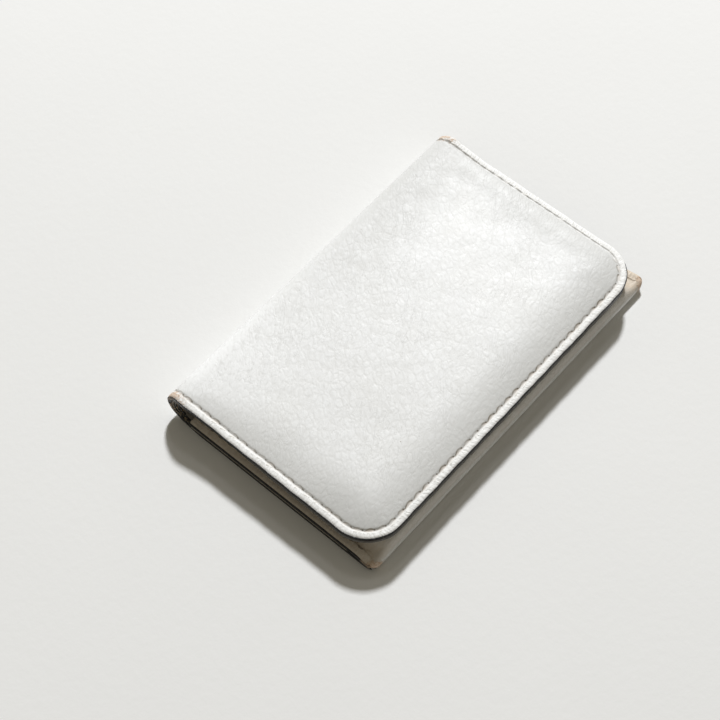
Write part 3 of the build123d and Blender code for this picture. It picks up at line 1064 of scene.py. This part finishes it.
def make_flap_thread():
    """The flap's one row of stitches, as it shows outside and inside."""
    places = [row_place((k + 1) * FLAP_PITCH) for k in range(FLAP_STITCHES - 1)]
    top = thread_row("thread_flap_top", places, flap_skin, THREAD)
    under = thread_row("thread_flap_under", places, flap_under, THREAD, flip=-1.0, proud=0.0)
    for piece in (top, under):
        settle(piece, ["flap_stitches"], bends_with_flap)


# The case's hide is two pieces, split here under the case: only the first bends at the spine
SPLIT_V = FOLD_V - 8.0
# The paint on a side seam's edges is this thick, thicker where they meet near the front fold
SEAM_PAINT = HIDE + 0.33


def make_case():
    """The case's hide and its two linings."""
    sheet = grid(steps(0, (BACK_V + 4, 0.42), (SPLIT_V, 0.55)), case_half)
    u, v = sheet
    inner = offset(case_base, HIDE)
    side = case_half(v) - np.abs(u)
    leather("hide_back", sheet, case_skin, inner, [HIDE_SKIN], "white_hide",
            ["back_panel", "spine_hide"], bends_with_case, edge=side - CASE_INSET + STITCH_INSET,
            along=v / STITCH_PITCH, tan=case_wear(u, v), layer=90)

    rows = steps(SPLIT_V, (FOLD_V, 0.6), (TOP_V, 0.16), (MOUTH_V - 0.4, 0.45), (MOUTH_V, 0.1))
    sheet = grid(rows, case_half)
    u, v = sheet
    side = case_half(v) - np.abs(u)
    seam_soil = 0.55 * smooth((v - TOP_V + 2) / 3) * (1 - smooth((side - 2) / 9))
    # Painted shade over the pocket's top and the fold's upper part, leaving the fold's front crest paler
    pocket_top_shade = 0.35 * smooth((v - TOP_V + 1.9) / 0.7)
    right_soil = 0.55 * smooth((u - CASE_HALF + 8) / 5) * smooth((v - TOP_V + 3) / 2)
    # There is no thread, and so no stitched border, round the fold itself
    no_border = 30 * (1 - smooth(np.abs(v - FOLD_V - 2.5) / 3))
    leather("hide_front", sheet, case_skin, inner, [HIDE_SKIN], "white_hide",
            ["pocket_front", "front_fold"], rides_on_case,
            edge=side - CASE_INSET + STITCH_INSET + no_border, along=v / STITCH_PITCH,
            tan=case_wear(u, v), soil=seam_soil + pocket_top_shade + right_soil, layer=90)

    # The back's lining is as wide as the hide up to the gussets, then lies between them
    lining_half = lining_high[0]
    gusset_v = BACK_V + SPINE_Y - MOUTH_Y - 0.2
    sheet = grid(steps(0, (BACK_V + 4, 0.6), (FOLD_V - 1.5, 1.2)),
                 lambda v: np.where(v < gusset_v, case_half(v), lining_half), PLAIN)
    leather("lining_back", sheet, inner, offset(case_base, EDGE), [LINING_SKIN],
            "lining_leather", ["back_lining"], bends_with_case, layer=15)

    sheet = grid(steps(TOP_V + 3, (MOUTH_V, 0.8)), lambda v: lining_half + 0 * v, PLAIN)
    leather("lining_pocket", sheet, inner, offset(case_base, HIDE + POCKET_LINING), [LINING_SKIN],
            "lining_leather", ["pocket_lining"], rides_on_case, layer=19)


def paint_side(part, side, v, thick, tan, node, moves, **shape):
    """A coat along one side edge of the case's hide, over a run of v."""
    sign = SIDES[side]
    path = np.stack([sign * case_half(v), v], 1)
    piece = bead(f"edge_{part}_{side}", path, case_base, thick, PAINT, (sign, 0), tan, **shape)
    settle(piece, [node], moves)


def make_case_edges():
    """Painted side edges: one coat round the lower spine and back, one on the pocket's front.
    They thicken and meet near the front fold. On the right they are thinner and set back."""
    meet = FOLD_R + 0.1 - SEAM_PAINT
    for side in SIDES:
        right = side == "right"
        v = steps(0, (SPLIT_V, 0.5))
        thick = EDGE + (SEAM_PAINT - EDGE) * smooth((v - BACK_V) / 5)
        paint_side("back", side, v, thick, 0.8 * bump(v, 1.0, 6.0), "back_panel", bends_with_case)

        v = steps(SPLIT_V, (FOLD_V + 0.3, 0.4))
        thick = SEAM_PAINT + meet * smooth((v - SPLIT_V) / 5)
        paint_side("fold", side, v, thick, 0.1, "front_fold", rides_on_case,
                   swell=0.08 if right else 0.22)

        v = steps(TOP_V - 0.3, (MOUTH_V, 0.45))
        thick = SEAM_PAINT + meet * (1 - smooth((v - TOP_V - 3) / 5))
        # Beside the front fold the upper part of the paint is rubbed off
        upper_part = np.isin(np.arange(BEAD_RING), (0, 1, 2, 3, BEAD_RING - 1))
        tan = 0.15 + 1.6 * bump(v, TOP_V - 0.3, 3) * upper_part[:, None]
        paint_side("pocket", side, v, thick, tan, "pocket_front", rides_on_case,
                   swell=(0.20 - 0.15 * bump(v, TOP_V, 4)) * (0.3 if right else 1.0),
                   sunk=0.34 if right else 0.12)

    u = steps(-CASE_HALF, (CASE_HALF, 0.6))
    path = np.stack([u, MOUTH_V + 0 * u], 1)
    piece = bead("edge_mouth", path, case_base, HIDE + 0.2, PAINT, (0, 1), 0.1, swell=0.15)
    settle(piece, ["pocket_front"], rides_on_case)


def make_fold_ends():
    """The front fold's two ends, painted over and rubbed round."""
    turn = np.linspace(0, math.pi, 25)
    inward = np.concatenate([np.linspace(0, 0.92, 12), [0.98]])
    grid_turn, grid_in = np.meshgrid(turn, inward, indexing="ij")
    radius = (FOLD_R - 0.08) * np.cos(grid_in * math.pi / 2)
    swell = 0.30 * np.sin(grid_in * math.pi / 2)
    lumpy = 0.06 * waves(grid_turn * 2, grid_in * 4, 77, octaves=2, size=3)
    half = case_half(FOLD_V + FOLD_R * grid_turn)
    rows, cols = grid_turn.shape
    for side, sign in SIDES.items():
        x = sign * (half - 0.12 + swell + lumpy)
        y = FOLD_Y + 0.15 - radius * np.sin(grid_turn)
        z = FOLD_R - radius * np.cos(grid_turn)
        outside = np.stack([x, y, z], -1)
        root = outside.copy()
        root[..., 0] = sign * (CASE_HALF - 2.4)
        verts = np.concatenate([outside.reshape(-1, 3), root.reshape(-1, 3)])
        faces = grid_faces(rows, cols) + grid_faces(rows, cols, rows * cols, True)
        piece = closed_mesh("fold_end_" + side, verts, faces + rim_walls(rows, cols), PAINT)
        give(piece, "tan", np.tile((0.9 * smooth((grid_turn - 1.8) / 0.8)).ravel(), 2))
        settle(piece, ["front_fold"], rides_on_case)


def make_gussets():
    """A folded leaf in each side seam: one half under the pocket's front, one on the back."""
    turn_r = (SEAM_TOP - 2 * EDGE) / 2 + 0.2
    middle_z = SEAM_TOP / 2
    root = CASE_HALF - 0.02
    inner = gusset_low[0] + 0.2 + turn_r
    for side, sign in SIDES.items():
        def leaf(a, y, sign=sign):
            straight = root - inner
            turn = np.clip((a - straight) / turn_r, 0, math.pi)
            back = np.maximum(a - straight - turn_r * math.pi, 0)
            x = root - np.minimum(a, straight) - turn_r * np.sin(turn) + back
            z = middle_z - turn_r * np.cos(turn)
            return np.stack([sign * x, y + 0 * a, z], -1)
        a = steps(0, (root - inner, 0.5), (root - inner + turn_r * math.pi, 0.12),
                  (2 * (root - inner) + turn_r * math.pi, 0.5))
        y = steps(FOLD_Y, (MOUTH_Y - 0.3, 0.8))
        sheet = np.meshgrid(a, y, indexing="ij")
        leather("gusset_leaf_" + side, sheet, offset(leaf, -GUSSET / 2), offset(leaf, GUSSET / 2),
                [GUSSET_SKIN, RAW_EDGE], "lining_leather", ["gusset_" + side], rides_on_case, layer=23)


def make_case_thread():
    """Both seams of each side, and the row along the pocket's mouth."""
    for side, sign in SIDES.items():
        first = math.ceil((TOP_V + 2.6) / STITCH_PITCH)
        last = math.floor((MOUTH_V - 1.6) / STITCH_PITCH)
        places = [(sign * (CASE_HALF - CASE_INSET), k * STITCH_PITCH, 0.0, 1.0)
                  for k in range(first, last + 1)]
        piece = thread_row("thread_pocket_" + side, places, case_skin, SOILED_THREAD)
        settle(piece, ["pocket_stitches_" + side], rides_on_case)

        last = math.floor((FOLD_V - 1.8) / STITCH_PITCH)
        places = []
        for k in range(1, last + 1):
            v = k * STITCH_PITCH
            places.append((sign * (float(case_half(np.array(v))) - CASE_INSET), v, 0.0, 1.0))
        piece = thread_row("thread_back_" + side, places, case_skin, THREAD, proud=-0.38)
        settle(piece, ["back_stitches_" + side], bends_with_case)

    span = CASE_HALF - 9
    count = round(2 * span / STITCH_PITCH)
    places = [(-span + (k + 0.5) * 2 * span / count, MOUTH_V - MOUTH_INSET, 1.0, 0.0) for k in range(count)]
    piece = thread_row("thread_mouth", places, case_skin, THREAD, radius=0.36, proud=-0.05)
    settle(piece, ["mouth_stitches"], rides_on_case)


make_flap()
make_flap_edge()
make_spine_ends()
make_flap_thread()
make_case()
make_case_edges()
make_fold_ends()
make_gussets()
make_case_thread()


# ---------------------------------------------------------------- floor, light and camera

# In metres: half the floor's width, and how far it lies under the case
FLOOR_HALF = 2.4
FLOOR_GAP = 0.00002
FLOOR_LINES = 25


def make_floor():
    places = np.linspace(-FLOOR_HALF, FLOOR_HALF, FLOOR_LINES)
    x, y = np.meshgrid(places, places, indexing="ij")
    verts = np.stack([x, y, 0 * x - FLOOR_GAP], -1).reshape(-1, 3) / MM
    floor = finish_mesh("floor", verts, grid_faces(FLOOR_LINES, FLOOR_LINES, 0, True), floor_surface())


def aim(obj, place, target):
    """Puts an object at a place, turned to face the target."""
    obj.location = place
    obj.rotation_euler = (Vector(target) - Vector(place)).to_track_quat("-Z", "Y").to_euler()
    bpy.context.scene.collection.objects.link(obj)


def panel(name, azimuth, elevation, distance, size, power, colour):
    """A square soft light, its azimuth counted from the +X axis."""
    lamp = bpy.data.lights.new(name, "AREA")
    lamp.shape = "SQUARE"
    lamp.size = size
    lamp.energy = power
    lamp.color = colour
    a, e = math.radians(azimuth), math.radians(elevation)
    place = Vector((math.cos(a) * math.cos(e), math.sin(a) * math.cos(e), math.sin(e))) * distance
    aim(bpy.data.objects.new(name, lamp), place, (0, 0, 0.005))


def make_world():
    world = bpy.data.worlds.new("studio")
    world.use_nodes = True
    sky = world.node_tree.nodes["Background"]
    sky.inputs["Color"].default_value = (1.0, 0.925, 0.76, 1)
    sky.inputs["Strength"].default_value = 0.21
    bpy.context.scene.world = world
    bpy.context.scene.view_settings.view_transform = "Standard"


def make_camera():
    """Above the front left corner, as the case lies on a table before someone standing there."""
    azimuth, elevation, roll = (math.radians(a) for a in (-43.893, 59.229, -5.344))
    distance = 0.46026
    target = Vector((-0.01081, 0.00754, 0))
    back = Vector((math.sin(azimuth) * math.cos(elevation), -math.cos(azimuth) * math.cos(elevation),
                   math.sin(elevation)))
    level = Vector((0, 0, 1)).cross(back).normalized()
    upright = back.cross(level)
    right = math.cos(roll) * level + math.sin(roll) * upright
    up = -math.sin(roll) * level + math.cos(roll) * upright
    camera = bpy.data.cameras.new("camera")
    camera.sensor_width = 36
    camera.lens = 89.47
    camera.clip_start = 0.01
    eye = bpy.data.objects.new("camera", camera)
    turned = Matrix((right, up, back)).transposed().to_4x4()
    eye.matrix_world = Matrix.Translation(target + back * distance) @ turned
    bpy.context.scene.collection.objects.link(eye)
    bpy.context.scene.camera = eye


make_floor()
panel("key_light", 34, 43.5, distance=2.2, size=0.2, power=53, colour=(0.985, 1.0, 1.03))
panel("sheen_light", 33.5, 58, distance=1.1, size=0.12, power=0.5, colour=(1.0, 1.0, 1.0))
make_world()
make_camera()
